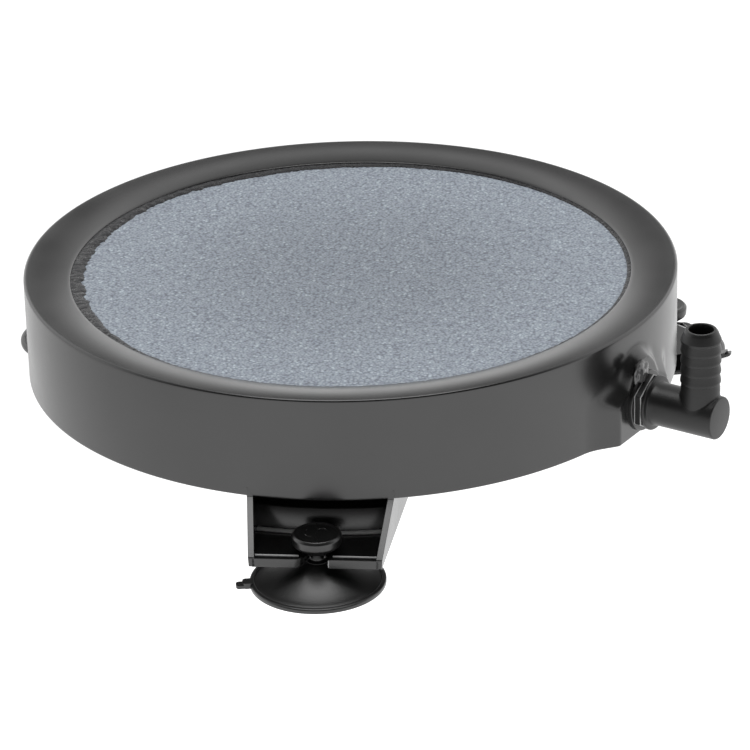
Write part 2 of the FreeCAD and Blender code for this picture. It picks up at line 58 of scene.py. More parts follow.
# ---- places read from the frame ----
stone_low, stone_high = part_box("stone_disc")
_, housing_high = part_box("housing")
AXIS = Vector(((stone_low.x + stone_high.x) / 2, (stone_low.y + stone_high.y) / 2, 0))
STONE_R = (stone_high.x - stone_low.x) / 2 / MM
STONE_TOP = stone_high.z / MM
STONE_BOTTOM = stone_low.z / MM
RIM_Z = housing_high.z / MM
JOINTS = {joint["name"]: joint for joint in frame["joints"]}
SIDES = ("front", "right", "left")


def about_axis(place):
    """A place in metres in the frame, as millimetres about the disc's axis."""
    return (Vector(place) - AXIS) / MM


CUP_AXIS = {side: about_axis(JOINTS["cup_turn_" + side]["pos_m"]) for side in SIDES}
FOOT_ANGLE = {side: math.atan2(CUP_AXIS[side].y, CUP_AXIS[side].x) for side in SIDES}
CUP_AXIS_R = math.hypot(CUP_AXIS["front"].x, CUP_AXIS["front"].y)
INLET_DIRECTION = Vector(JOINTS["inlet_swivel"]["axis"])
INLET_ANGLE = math.atan2(INLET_DIRECTION.y, INLET_DIRECTION.x)
INLET_Z = JOINTS["inlet_swivel"]["pos_m"][2] / MM

# ---- housing sizes, in millimetres ----
WALL_R = 100.0
WALL_INNER_R = 97.6
WALL_LOW = 21.2
SEAT_R = 85.8           # inside of the cup that holds the stone
RIM_DROP = 2.1          # how far the dished rim falls towards the stone
LEDGE_R = 82.5          # inside of the ledge that the adhesive stands on
LEDGE_Z = 35.8
PLATE_R = 84.9          # outside of the chamber's wall
FLOOR_LOW, FLOOR_TOP = 23.3, 25.7
SHELL_T = 2.4
LIP_R = 115.7           # front of a foot
LIP_DEPTH = 2.6
LIP_TOP = 10.3
FOOT_LOW, FOOT_FLOOR = 7.6, 9.5
FOOT_INNER_R = 70.0
FOOT_WALL_R = 97.8      # front of a foot's back wall at its bottom
FOOT_WALL_BACK_R = 95.8
SHELF_LOW, SHELF_TOP = 14.8, 16.6
RIB_T = 1.8
LIP_HALF = 19.1         # half a foot's width at the bottom of its front
TAPER, DRAFT = 0.08, 0.057  # how a foot widens inwards and upwards
MOUTH_HALF = 3.7        # half the slot that takes a cup's neck
MOUTH_CHAMFER = 2.4
NECK_HOLE_R = 2.3
DUCT_R = 9.5            # sleeve that leads the air from the boss to the chamber
BORE_R = 6.6            # threaded hole that takes the elbow's shank
BOSS_FACE_R = 103.3
BOSS_ROOT_R = 95.0
# half outlines of the boss: (beside its middle, above the wall's lower edge)
BOSS_FACE = ((14.2, 0.0), (14.2, 11.8), (8.4, 15.2), (6.4, 19.4), (2.6, 22.8), (0.0, 23.2))
BOSS_ROOT = ((24.6, 0.0), (24.6, 16.8), (16.5, 24.3), (12.0, 27.3), (5.0, 29.3), (0.0, 29.6))
BOSS_EDGE, BOSS_BLEND = 0.35, 1.7   # roundings of its face's edge and of its root

# ---- cup sizes, in millimetres ----
CUP_R = 19.7
CUP_RIM_T = 1.25
HOLLOW_R, HOLLOW_TOP = 18.4, 2.8
CONE_LOW_R, CONE_HIGH_R = 17.9, 3.2
NECK_R = 1.95
HEAD_TOP = 15.8
TAB_ROOT_R = 18.9
TAB_ANGLE = {"front": 185.0, "right": -22.0, "left": 84.0}
TAB_REACH = {"front": (2.1, 4.0), "right": (1.5, 2.8), "left": (2.1, 4.0)}
TAB_BEND = {"front": 0.0, "right": 22.0, "left": 0.0}

# ---- inlet sizes, in millimetres; radii from the disc's axis where they lie along the inlet ----
NUT_FLATS = 15.5
NUT_LOW, NUT_HIGH = 104.3, 106.45
GASKET_R = 9.2
SHANK_START, SHANK_R = 89.2, 6.4
COLLAR_R = 8.3
TUBE_R, TUBE_END = 6.5, 128.7
SPIGOT_AT = 122.1       # where the spigot's axis crosses the tube's
STEM_R, BARB_R = 5.8, 6.0
BARB_VALLEY_R = 5.55
BARBS, FIRST_CREST, BARB_PITCH = 5, 42.0, 3.2
SPIGOT_BORE_R, SPIGOT_TOP = 3.7, 57.9

# ---- stage ----
FLOOR_SIZE = 6.0
FLOOR_GLOW_PLACE = (0.03, -0.22, 0.0)
FLOOR_GLOW = 1.35
FLOOR_BASE_GLOW = 0.74
FLOOR_GLOW_REACH = (0.12, 0.38)
WORLD_LEVEL = 1.5
WORLD_PATCH = 0.2
WORLD_PATCH_DIRECTION = (0.0, 0.906, 0.423)
WORLD_SHADE = 0.03
WORLD_DOME = 0.2
LIGHT_OFFSET = (0.0, 0.02, 1.4)
LIGHT_SIZE = (1.0, 0.9)
LIGHT_POWER = 11.3
CAMERA_OFFSET = (0.0067, -1.1257, 0.4857)
CAMERA_PITCH, CAMERA_ROLL = 24.98, -1.40
CAMERA_LENS = 192


# ---- mesh helpers ----
def rounded(corners, closed=True, steps=4):
    """Outline through corners (a, b, radius), each one rounded by its own radius."""
    outline = []
    last = len(corners) - 1
    for i, (a, b, radius) in enumerate(corners):
        corner = Vector((a, b))
        if radius == 0 or (not closed and i in (0, last)):
            outline.append((a, b))
            continue
        before = (Vector(corners[i - 1][:2]) - corner).normalized()
        after = (Vector(corners[(i + 1) % len(corners)][:2]) - corner).normalized()
        half = before.angle(after) / 2
        reach = radius / math.tan(half)
        centre = corner + (before + after).normalized() * (radius / math.sin(half))
        start = corner + before * reach - centre
        end = corner + after * reach - centre
        for k in range(steps + 1):
            spoke = start.lerp(end, k / steps).normalized() * radius
            outline.append(tuple(centre + spoke))
    return outline


def divided(a, b, step):
    """Points from a up to but not including b, no further apart than step."""
    count = max(1, math.ceil((Vector(b) - Vector(a)).length / step))
    return [tuple(Vector(a).lerp(Vector(b), k / count)) for k in range(count)]


def faces_around(turns, n, closed=True):
    """Faces between neighbouring sections of n points, all the way round."""
    faces = []
    for k in range(turns):
        a, b = k * n, (k + 1) % turns * n
        for i in range(n if closed else n - 1):
            j = (i + 1) % n
            faces.append((a + i, b + i, b + j, a + j))
    return faces


def faces_along(sections, n):
    """Faces between neighbouring sections of n points, from the first to the last."""
    faces = []
    for k in range(sections - 1):
        a, b = k * n, (k + 1) * n
        for i in range(n):
            j = (i + 1) % n
            faces.append((a + i, a + j, b + j, b + i))
    return faces


def end_caps(count, n):
    """The first and the last section of n points as faces, of count points in all."""
    return [tuple(range(n)), tuple(range(count - 1, count - 1 - n, -1))]


def lathe(profile, steps=128, closed=True, angles=None):
    """Points and faces of a surface turned about Z. A closed profile makes a ring, and an
    open one starts and ends on the axis."""
    if angles is None:
        angles = [TAU * k / steps for k in range(steps)]
    ring = profile if closed else profile[1:-1]
    n = len(ring)
    points = [(r * math.cos(t), r * math.sin(t), z) for t in angles for r, z in ring]
    turns = len(angles)
    faces = faces_around(turns, n, closed)
    if not closed:
        tip = len(points)
        points += [(0, 0, profile[0][1]), (0, 0, profile[-1][1])]
        for k in range(turns):
            a, b = k * n, (k + 1) % turns * n
            faces.append((tip, b, a))
            faces.append((tip + 1, a + n - 1, b + n - 1))
    return points, faces


def slab(lower, upper):
    """Closed solid between two outlines with the same number of points."""
    n = len(lower)
    points = list(lower) + list(upper)
    faces = [tuple(range(n)), tuple(range(2 * n - 1, n - 1, -1))]
    for i in range(n):
        j = (i + 1) % n
        faces.append((j, i, n + i, n + j))
    return points, faces


def joined(*parts):
    """Several (points, faces) as one."""
    points, faces = [], []
    for part_points, part_faces in parts:
        base = len(points)
        points += list(part_points)
        faces += [tuple(base + i for i in face) for face in part_faces]
    return points, faces


def turned(geometry, angle):
    """(points, faces) turned about the disc's axis."""
    points, faces = geometry
    c, s = math.cos(angle), math.sin(angle)
    return [(x * c - y * s, x * s + y * c, z) for x, y, z in points], faces


def shifted(geometry, dx, dy):
    points, faces = geometry
    return [(x + dx, y + dy, z) for x, y, z in points], faces


def along_inlet(geometry):
    """Carry (points, faces) built about Z onto the inlet's axis, Z becoming the outward
    radius."""
    points, faces = geometry
    laid = [(z, y, INLET_Z - x) for x, y, z in points]
    return turned((laid, faces), INLET_ANGLE)


def paint(obj, material):
    obj.data.materials.clear()
    obj.data.materials.append(material)


def piece(name, geometry, material, body, sharp=35, bevel=0.0, replaces=()):
    """Mesh object of (points, faces) in millimetres, riding on a body."""
    points, faces = geometry
    mesh = bpy.data.meshes.new(name)
    mesh.from_pydata([AXIS + Vector(p) * MM for p in points], [], faces)
    build = bmesh.new()
    build.from_mesh(mesh)
    bmesh.ops.recalc_face_normals(build, faces=build.faces)
    build.to_mesh(mesh)
    build.free()
    mesh.shade_smooth()
    mesh.set_sharp_from_angle(angle=math.radians(sharp))
    obj = bpy.data.objects.new(name, mesh)
    bpy.context.scene.collection.objects.link(obj)
    if bevel:
        rounding = obj.modifiers.new("edges", "BEVEL")
        rounding.width = bevel * MM
        rounding.segments = 3
        rounding.limit_method = "ANGLE"
        rounding.angle_limit = math.radians(30)
        rounding.harden_normals = True
    paint(obj, material)
    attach(obj, body)
    if replaces:
        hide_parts(*replaces)


# ---- material helpers ----
def new_material(name):
    """A node material: returns it with its node tree's nodes, links and main shader."""
    material = bpy.data.materials.new(name)
    material.use_nodes = True
    nodes = material.node_tree.nodes
    shader = nodes.get("Principled BSDF")
    if shader is None:
        shader = nodes.new("ShaderNodeBsdfPrincipled")
        output = nodes.new("ShaderNodeOutputMaterial")
        material.node_tree.links.new(shader.outputs["BSDF"], output.inputs["Surface"])
    return material, nodes, material.node_tree.links, shader


def noise_texture(nodes, links, coords, scale, detail=3.0, roughness=0.5):
    """Noise at a scale in repeats per metre."""
    texture = nodes.new("ShaderNodeTexNoise")
    texture.inputs["Scale"].default_value = scale
    texture.inputs["Detail"].default_value = detail
    texture.inputs["Roughness"].default_value = roughness
    links.new(coords.outputs["Object"], texture.inputs["Vector"])
    return texture


def ramp(nodes, links, source, stops):
    """Colour ramp over a socket; stops are (position, colour)."""
    node = nodes.new("ShaderNodeValToRGB")
    elements = node.color_ramp.elements
    while len(elements) > 1:
        elements.remove(elements[-1])
    elements[0].position, elements[0].color = stops[0][0], (*stops[0][1], 1)
    for position, colour in stops[1:]:
        element = elements.new(position)
        element.color = (*colour, 1)
    links.new(source, node.inputs["Fac"])
    return node


def to_range(nodes, links, source, low, high, from_low=0.0, from_high=1.0):
    """Map a value socket onto a range."""
    node = nodes.new("ShaderNodeMapRange")
    node.inputs["From Min"].default_value = from_low
    node.inputs["From Max"].default_value = from_high
    node.inputs["To Min"].default_value = low
    node.inputs["To Max"].default_value = high
    links.new(source, node.inputs["Value"])
    return node


def bump(nodes, links, height, distance, strength=1.0, below=None):
    """Bump from a height socket; below is a bump node that it adds to."""
    node = nodes.new("ShaderNodeBump")
    node.inputs["Strength"].default_value = strength
    node.inputs["Distance"].default_value = distance
    links.new(height, node.inputs["Height"])
    if below is not None:
        links.new(below.outputs["Normal"], node.inputs["Normal"])
    return node


def grey(level):
    return (level, level, level)


def moulded_plastic(name, dark, light, rough_low, rough_high, grain, grain_depth, ior=1.5):
    """Moulded plastic, rubber or smooth adhesive: mottled between two colours, its gloss
    uneven between two roughnesses, with a fine grain."""
    material, nodes, links, shader = new_material(name)
    coords = nodes.new("ShaderNodeTexCoord")
    mottle = noise_texture(nodes, links, coords, 60, 4)
    colour = ramp(nodes, links, mottle.outputs["Fac"], [(0.3, dark), (0.7, light)])
    links.new(colour.outputs["Color"], shader.inputs["Base Color"])
    sheen = noise_texture(nodes, links, coords, 25, 5, 0.6)
    gloss = to_range(nodes, links, sheen.outputs["Fac"], rough_low, rough_high, 0.3, 0.7)
    links.new(gloss.outputs["Result"], shader.inputs["Roughness"])
    fine = noise_texture(nodes, links, coords, grain, 2)
    grainy = bump(nodes, links, fine.outputs["Fac"], grain_depth, 0.5)
    waves = noise_texture(nodes, links, coords, 35, 1)
    wavy = bump(nodes, links, waves.outputs["Fac"], 0.05 * MM, 0.4, grainy)
    links.new(wavy.outputs["Normal"], shader.inputs["Normal"])
    shader.inputs["IOR"].default_value = ior
    return material


def stone_material():
    """Blue-grey fused grit: light grains, with painted shade in the pores between them, a little
    darker in the middle.
    """
    material, nodes, links, shader = new_material("fused_grit")
    coords = nodes.new("ShaderNodeTexCoord")
    grains = nodes.new("ShaderNodeTexVoronoi")
    grains.inputs["Scale"].default_value = 1250
    links.new(coords.outputs["Object"], grains.inputs["Vector"])
    # Lighter at the grains' middles as their own tone; the darkening towards the cell borders,
    # where the bump sets the pits, is painted shade in the pores.
    grain_tone_and_pore_shade = ramp(nodes, links, grains.outputs["Distance"], [
        (0.0, (0.40, 0.45, 0.51)),
        (0.45, (0.31, 0.35, 0.40)),
        (0.85, (0.17, 0.19, 0.23)),
    ])
    tint = ramp(nodes, links, grains.outputs["Color"], [
        (0.15, (0.86, 0.87, 0.89)),
        (0.5, (0.98, 0.98, 0.98)),
        (0.78, (1.06, 1.06, 1.05)),
        (0.88, (1.5, 1.5, 1.45)),
    ])
    mixed = nodes.new("ShaderNodeMix")
    mixed.data_type = "RGBA"
    mixed.blend_type = "MULTIPLY"
    mixed.inputs["Factor"].default_value = 0.8
    links.new(grain_tone_and_pore_shade.outputs["Color"], mixed.inputs["A"])
    links.new(tint.outputs["Color"], mixed.inputs["B"])
    # The colour is scaled down towards the disc's middle.
    from_middle = nodes.new("ShaderNodeVectorMath")
    from_middle.operation = "DISTANCE"
    from_middle.inputs[1].default_value = (AXIS.x, AXIS.y, STONE_TOP * MM)
    links.new(coords.outputs["Object"], from_middle.inputs[0])
    tone = to_range(nodes, links, from_middle.outputs["Value"], 0.73, 0.92, 0.02, 0.08)
    tone.interpolation_type = "SMOOTHSTEP"
    middle_darkened = nodes.new("ShaderNodeVectorMath")
    middle_darkened.operation = "SCALE"
    links.new(mixed.outputs["Result"], middle_darkened.inputs[0])
    links.new(tone.outputs["Result"], middle_darkened.inputs["Scale"])
    links.new(middle_darkened.outputs["Vector"], shader.inputs["Base Color"])
    shader.inputs["Roughness"].default_value = 0.7
    height = to_range(nodes, links, grains.outputs["Distance"], 1.0, 0.0, 0.0, 0.8)
    grainy = bump(nodes, links, height.outputs["Result"], 0.2 * MM, 0.6)
    links.new(grainy.outputs["Normal"], shader.inputs["Normal"])
    return material


def sealant_material():
    """Black adhesive, lumpy and half glossy."""
    material, nodes, links, shader = new_material("black_sealant")
    coords = nodes.new("ShaderNodeTexCoord")
    lumps = noise_texture(nodes, links, coords, 500, 4, 0.6)
    colour = ramp(nodes, links, lumps.outputs["Fac"], [
        (0.35, (0.002, 0.002, 0.003)),
        (0.8, (0.014, 0.015, 0.018)),
    ])
    links.new(colour.outputs["Color"], shader.inputs["Base Color"])
    gloss = to_range(nodes, links, lumps.outputs["Fac"], 0.16, 0.5, 0.35, 0.65)
    links.new(gloss.outputs["Result"], shader.inputs["Roughness"])
    shader.inputs["Specular IOR Level"].default_value = 0.3
    rough = bump(nodes, links, lumps.outputs["Fac"], 0.7 * MM, 1.0)
    links.new(rough.outputs["Normal"], shader.inputs["Normal"])
    return material


def floor_material():
    """Pale sheet lit from below, most in front of the object."""
    material, nodes, links, shader = new_material("pale_floor")
    coords = nodes.new("ShaderNodeTexCoord")
    cloud = noise_texture(nodes, links, coords, 2, 2)
    colour = ramp(nodes, links, cloud.outputs["Fac"], [(0.3, grey(0.36)), (0.7, grey(0.38))])
    links.new(colour.outputs["Color"], shader.inputs["Base Color"])
    shader.inputs["Roughness"].default_value = 0.9
    shader.inputs["Specular IOR Level"].default_value = 0.1
    place = nodes.new("ShaderNodeVectorMath")
    place.operation = "DISTANCE"
    place.inputs[1].default_value = FLOOR_GLOW_PLACE
    links.new(coords.outputs["Object"], place.inputs[0])
    glow = to_range(nodes, links, place.outputs["Value"],
                    FLOOR_GLOW, FLOOR_BASE_GLOW, *FLOOR_GLOW_REACH)
    glow.interpolation_type = "SMOOTHSTEP"
    shader.inputs["Emission Color"].default_value = (1, 1, 1, 1)
    links.new(glow.outputs["Result"], shader.inputs["Emission Strength"])
    return material


BLACK = (grey(0.006), grey(0.009))
HOUSING = moulded_plastic("housing_plastic", *BLACK, 0.18, 0.27, 2600, 0.015 * MM, 1.6)
# The light grey of the beads along edges is painted highlight: it stands in for light that their
# rounded edges catch.
EDGE_HIGHLIGHT = moulded_plastic("painted_edge_highlight", grey(0.28), grey(0.38), 0.3, 0.4, 2600, 0.03 * MM)
FITTING = moulded_plastic("fitting_plastic", *BLACK, 0.34, 0.44, 2000, 0.03 * MM, 1.42)
RUBBER = moulded_plastic(
    "cup_rubber", grey(0.002), grey(0.004), 0.28, 0.40, 1500, 0.04 * MM, 1.6)
WET_SEALANT = moulded_plastic(
    "wet_sealant", (0.03, 0.03, 0.032), grey(0.10), 0.08, 0.2, 900, 0.3 * MM, 1.6)
STONE = stone_material()
SEALANT = sealant_material()


# ---- housing: wall, rim and boss ----
def outline_reach(outline, direction):
    """Distance from the boss's foot, along a direction, to a half outline's edge."""
    dx, dy = abs(math.cos(direction)), abs(math.sin(direction))
    for (ax, ay), (bx, by) in zip(outline, outline[1:]):
        across = (bx - ax) * dy - (by - ay) * dx
        if abs(across) < 1e-9:
            continue
        t = (ay * dx - ax * dy) / across
        if -1e-6 <= t <= 1 + 1e-6:
            return math.hypot(ax + t * (bx - ax), ay + t * (by - ay))
    return math.hypot(*outline[-1])


def smooth_reach(outline, spread):
    """A half outline's reach in every direction from 0 to half a turn, a degree apart, with
    its corners softened over a number of degrees."""
    pad = 30
    angles = np.linspace(0, math.pi, 181)
    reach = np.array([outline_reach(outline, a) for a in angles])
    padded = np.concatenate([reach[pad:0:-1], reach, reach[-2:-pad - 2:-1]])
    window = np.exp(-np.linspace(-2, 2, 2 * spread + 1) ** 2)
    soft = np.convolve(padded, window / window.sum(), "same")[pad:-pad]
    return angles, soft


FACE_REACH = smooth_reach(BOSS_FACE, spread=6)
ROOT_REACH = smooth_reach(BOSS_ROOT, spread=13)


def soft_max(a, b, width):
    """The greater of two, blended where they differ by less than width."""
    h = np.maximum(width - np.abs(a - b), 0) / width
    return np.maximum(a, b) + h * h * width / 4


def boss_reach(y, z):
    """How far out the wall stands at places beside the inlet (y across, z up)."""
    wall = np.sqrt(WALL_R ** 2 - y ** 2)
    up = np.maximum(z - WALL_LOW, 0)
    direction = np.arctan2(up, y)
    distance = np.hypot(y, up)
    face = np.interp(direction, *FACE_REACH)
    root = np.interp(direction, *ROOT_REACH)
    slope = BOSS_ROOT_R + (BOSS_FACE_R - BOSS_ROOT_R) * (root - distance) / (root - face)
    crowned = -soft_max(-slope, np.full_like(slope, -BOSS_FACE_R), BOSS_EDGE)
    return soft_max(wall, crowned, BOSS_BLEND)


def housing_shell():
    """Wall, dished rim, stone's seat and chamber floor, with the boss swelling out of the
    wall. It's built with the boss at +X and finely divided there, then turned."""
    under_rim = RIM_Z - SHELL_T
    hollow_r = PLATE_R + 3.3
    dish_steps = 12
    corners = [(SEAT_R, LEDGE_Z, 0.0), (SEAT_R, RIM_Z - RIM_DROP, 0.4)]
    for k in range(1, dish_steps):
        share = k / dish_steps
        r = SEAT_R + (WALL_R - SEAT_R) * share
        corners.append((r, RIM_Z - RIM_DROP * (1 - share) ** 2, 0.0))
    corners.append((WALL_R, RIM_Z, 0.7))
    top = rounded(corners + [(WALL_R, WALL_LOW, 0.0)], closed=False)[:-1]
    side = divided(top[-1], (WALL_R, WALL_LOW + 0.5), 0.6)[1:]
    foot = rounded([
        (WALL_R, WALL_LOW + 3, 0.0),
        (WALL_R, WALL_LOW, 0.45),
        (WALL_INNER_R, WALL_LOW, 0.3),
        (WALL_INNER_R, under_rim - RIM_DROP / 2, 0.8),
        (hollow_r, under_rim - RIM_DROP, 0.8),
        (hollow_r, LEDGE_Z - SHELL_T, 0.5),
        (PLATE_R, LEDGE_Z - SHELL_T, 0.5),
        (PLATE_R, FLOOR_LOW, 0.5),
        (0, FLOOR_LOW, 0.0),
    ], closed=False)[1:]
    inside = [(0, FLOOR_TOP), (LEDGE_R, FLOOR_TOP), (LEDGE_R, LEDGE_Z)]
    profile = inside + top + side + foot
    fine, coarse = math.radians(0.3), math.radians(0.9)
    reach = math.radians(19)
    angles = list(np.arange(-reach, reach, fine)) + list(np.arange(reach, TAU - reach, coarse))
    points, faces = lathe(profile, closed=False, angles=angles)
    points = np.array(points)
    radius = np.hypot(points[:, 0], points[:, 1])
    outside = (radius > WALL_R - 0.6) & (points[:, 2] < RIM_Z - 1.0) & (points[:, 0] > 0)
    near = outside & (np.abs(points[:, 1]) < WALL_R * math.sin(reach))
    y, z = points[near, 1], points[near, 2]
    # only the wall's outside is pushed out to the boss
    points[near, 0] += boss_reach(y, z) - np.sqrt(WALL_R ** 2 - y ** 2)
    return turned((points.tolist(), faces), INLET_ANGLE)


# ---- housing: feet ----
def foot_half(r, z, inset=0.0):
    """Half width of a foot at a radius and a height."""
    return LIP_HALF + (LIP_R - r) * TAPER + (z - FOOT_LOW) * DRAFT - inset


def rib(side):
    """One side rib of a foot along +X, side being 1 or -1."""
    top = WALL_LOW + 2.7
    view = rounded([
        (FOOT_INNER_R, FOOT_LOW, 0.0),
        (LIP_R, FOOT_LOW, 0.3),
        (LIP_R, LIP_TOP + 0.2, 0.5),
        (98.2, WALL_LOW, 0.0),
        (97.8, top, 0.0),
        (FOOT_INNER_R, top, 0.0),
    ], steps=3)
    outer = [(r, side * foot_half(r, z), z) for r, z in view]
    inner = [(r, side * foot_half(r, z, RIB_T), z) for r, z in view]
    return slab(outer, inner)


def arc_points(radius, half_angle, steps, z):
    return [(radius * math.cos(t), radius * math.sin(t), z)
            for t in np.linspace(-half_angle, half_angle, steps)]


def foot_floor():
    """Slotted floor plate of a foot along +X."""
    half = foot_half(FOOT_WALL_BACK_R, FOOT_LOW, RIB_T / 2)
    back = arc_points(FOOT_WALL_BACK_R, math.asin(half / FOOT_WALL_BACK_R), 17, 0)
    seat = [(CUP_AXIS_R + NECK_HOLE_R * math.cos(t), NECK_HOLE_R * math.sin(t), 0)
            for t in np.linspace(math.pi / 2, 3 * math.pi / 2, 13)]
    front = LIP_R - 0.1
    front_half = foot_half(LIP_R, FOOT_LOW, RIB_T / 2)
    plan = back[::-1]
    plan += [(front, -front_half, 0), (front, -MOUTH_HALF - MOUTH_CHAMFER, 0)]
    plan += [(front - MOUTH_CHAMFER, -MOUTH_HALF, 0)] + seat[::-1]
    plan += [(front, MOUTH_HALF, 0), (front, front_half, 0)]
    lower = [(x, y, FOOT_LOW) for x, y, _ in plan]
    upper = [(x, y, FOOT_FLOOR) for x, y, _ in plan]
    return slab(lower, upper)


def lip(side):
    """Raised lip on one side of the slot: square on the +Y side, rounded on the other."""
    outer = foot_half(LIP_R, FOOT_LOW, RIB_T / 2)
    inner, corner = (MOUTH_HALF, 0.35) if side > 0 else (MOUTH_HALF + 0.2, 2.3)
    plan = rounded([
        (LIP_R, outer, 0.0),
        (LIP_R, inner, corner),
        (LIP_R - LIP_DEPTH, inner, 0.25),
        (LIP_R - LIP_DEPTH, outer, 0.0),
    ], steps=6)
    lower = [(x, side * y, FOOT_LOW) for x, y in plan]
    upper = [(x, side * y, LIP_TOP) for x, y in plan]
    return slab(lower, upper)


def ridge_along(path, radius, steps=8):
    """Thin round bead along a path of points, closed at both ends."""
    points = []
    for k, p in enumerate(path):
        here = Vector(p)
        ahead = Vector(path[min(k + 1, len(path) - 1)]) - Vector(path[max(k - 1, 0)])
        across = ahead.cross(Vector((0, 0, 1))).normalized()
        above = across.cross(ahead).normalized()
        for i in range(steps):
            t = TAU * i / steps
            spoke = across * radius * math.cos(t) + above * radius * math.sin(t)
            points.append(tuple(here + spoke))
    return points, faces_along(len(path), steps) + end_caps(len(points), steps)


def upright_edge(x, y, low, high, radius=0.2):
    """Thin upright bead."""
    ring = [(x + radius * math.cos(t), y + radius * math.sin(t))
            for t in (TAU * i / 8 for i in range(8))]
    return slab([(a, b, low) for a, b in ring], [(a, b, high) for a, b in ring])


def foot_back():
    """Leaning back wall, shelf behind it and plate under the chamber, along +X."""
    plate_top = FLOOR_LOW + 1.2
    outline = rounded([
        (FOOT_WALL_R, FOOT_LOW, 0.0),
        (FOOT_WALL_R, FOOT_FLOOR, 0.0),
        (95.4, SHELF_TOP, 0.4),
        (PLATE_R, SHELF_TOP, 0.3),
        (PLATE_R, plate_top, 0.0),
        (LEDGE_R, plate_top, 0.0),
        (LEDGE_R, SHELF_LOW, 0.3),
        (94.0, SHELF_LOW, 0.3),
        (FOOT_WALL_BACK_R, FOOT_FLOOR, 0.0),
        (FOOT_WALL_BACK_R, FOOT_LOW, 0.0),
    ], steps=3)
    n = len(outline)
    points = []
    stations = 21
    for k in range(stations):
        share = 2 * k / (stations - 1) - 1
        for r, z in outline:
            angle = share * math.asin(foot_half(r, z, RIB_T / 2) / r)
            points.append((r * math.cos(angle), r * math.sin(angle), z))
    return points, end_caps(len(points), n) + faces_along(stations, n)


def foot_highlight_beads():
    """Beads along a foot's edges, along +X, coloured light as painted highlights: below its back
    wall, along its lips and at the square lip's corner."""
    reach = math.asin(foot_half(FOOT_WALL_R, FOOT_FLOOR, RIB_T) / FOOT_WALL_R)
    bead = ridge_along(arc_points(FOOT_WALL_R + 0.1, reach, 25, FOOT_FLOOR + 0.35), 0.75)
    edges = []
    back = LIP_R - LIP_DEPTH + 0.35
    across = np.linspace(MOUTH_HALF + 1.2, foot_half(LIP_R, LIP_TOP, RIB_T), 9)
    for side in (1, -1):
        edges.append(ridge_along([(back, side * y, LIP_TOP) for y in across], 0.32))
    corner = upright_edge(LIP_R - 0.15, MOUTH_HALF + 0.15, FOOT_LOW + 0.4, LIP_TOP - 0.2)
    return joined(bead, *edges, corner)


def make_housing():
    piece("housing_shell", housing_shell(), HOUSING, "housing",
          replaces=("housing",))
    low, high = PLATE_R - 0.5, BOSS_ROOT_R + 3.5
    duct = lathe([(BORE_R, low), (DUCT_R, low), (DUCT_R, high), (BORE_R, high)], steps=64)
    piece("air_duct", along_inlet(duct), HOUSING, "housing")
    foot = joined(rib(1), rib(-1), foot_floor(), lip(1), lip(-1))
    for side in SIDES:
        angle = FOOT_ANGLE[side]
        piece("foot_" + side, turned(foot, angle), HOUSING, "housing",
              bevel=0.28)
        piece("foot_back_" + side, turned(foot_back(), angle), HOUSING,
              "housing")
        # Beads along the foot's edges, coloured light as painted highlight.
        piece("foot_highlight_beads_" + side, turned(foot_highlight_beads(), angle), EDGE_HIGHLIGHT,
              "housing")


# ---- stone and its adhesive ----
def grain_height(x, y, cell=0.85):
    """Height of the fused grains at a place: round tops with pits between them."""
    distances, _ = noise.voronoi(Vector((x / cell, y / cell, 0.5)))
    return 0.12 - 0.22 * distances[0] ** 1.5


def stone_disc():
    """Disc whose top is a fine net of triangles, raised into grains."""
    spacing, edge = 0.6, 0.6
    rings = int(STONE_R / spacing)
    points = [(0.0, 0.0, STONE_TOP + grain_height(0, 0))]
    starts = [0]
    for k in range(1, rings + 1):
        starts.append(len(points))
        radius = (STONE_R - 0.3) * k / rings
        for i in range(6 * k):
            t = TAU * i / (6 * k)
            x, y = radius * math.cos(t), radius * math.sin(t)
            points.append((x, y, STONE_TOP + grain_height(x, y)))
    faces = [(0, 1 + i, 1 + (i + 1) % 6) for i in range(6)]
    for k in range(2, rings + 1):
        inner, outer = starts[k - 1], starts[k]
        n_in, n_out = 6 * (k - 1), 6 * k
        for side in range(6):
            for i in range(k):
                a = outer + side * k + i
                b = outer + (side * k + i + 1) % n_out
                c = inner + (side * (k - 1) + i) % n_in
                faces.append((a, b, c))
                if i < k - 1:
                    faces.append((b, inner + (side * (k - 1) + i + 1) % n_in, c))
    rim, count = starts[rings], 6 * rings
    side_rings = (
        (STONE_R, STONE_TOP - edge),
        (STONE_R, STONE_BOTTOM + edge),
        (STONE_R - edge, STONE_BOTTOM),
    )
    for radius, z in side_rings:
        base = len(points)
        for i in range(count):
            t = TAU * i / count
            points.append((radius * math.cos(t), radius * math.sin(t), z))
        for i in range(count):
            j = (i + 1) % count
            faces.append((rim + i, base + i, base + j, rim + j))
        rim = base
    faces.append(tuple(range(rim + count - 1, rim - 1, -1)))
    return points, faces


def sealant_width(angle):
    """The adhesive laps furthest over the stone on the left, and some way at the back."""
    degrees = math.degrees(angle) % 360
    left = 3.0 * math.exp(-((degrees - 176) / 40) ** 4)
    back = 2.1 * math.exp(-((degrees - 112) / 36) ** 2)
    return 0.55 + max(left, back) + 0.35 * min(left, back)


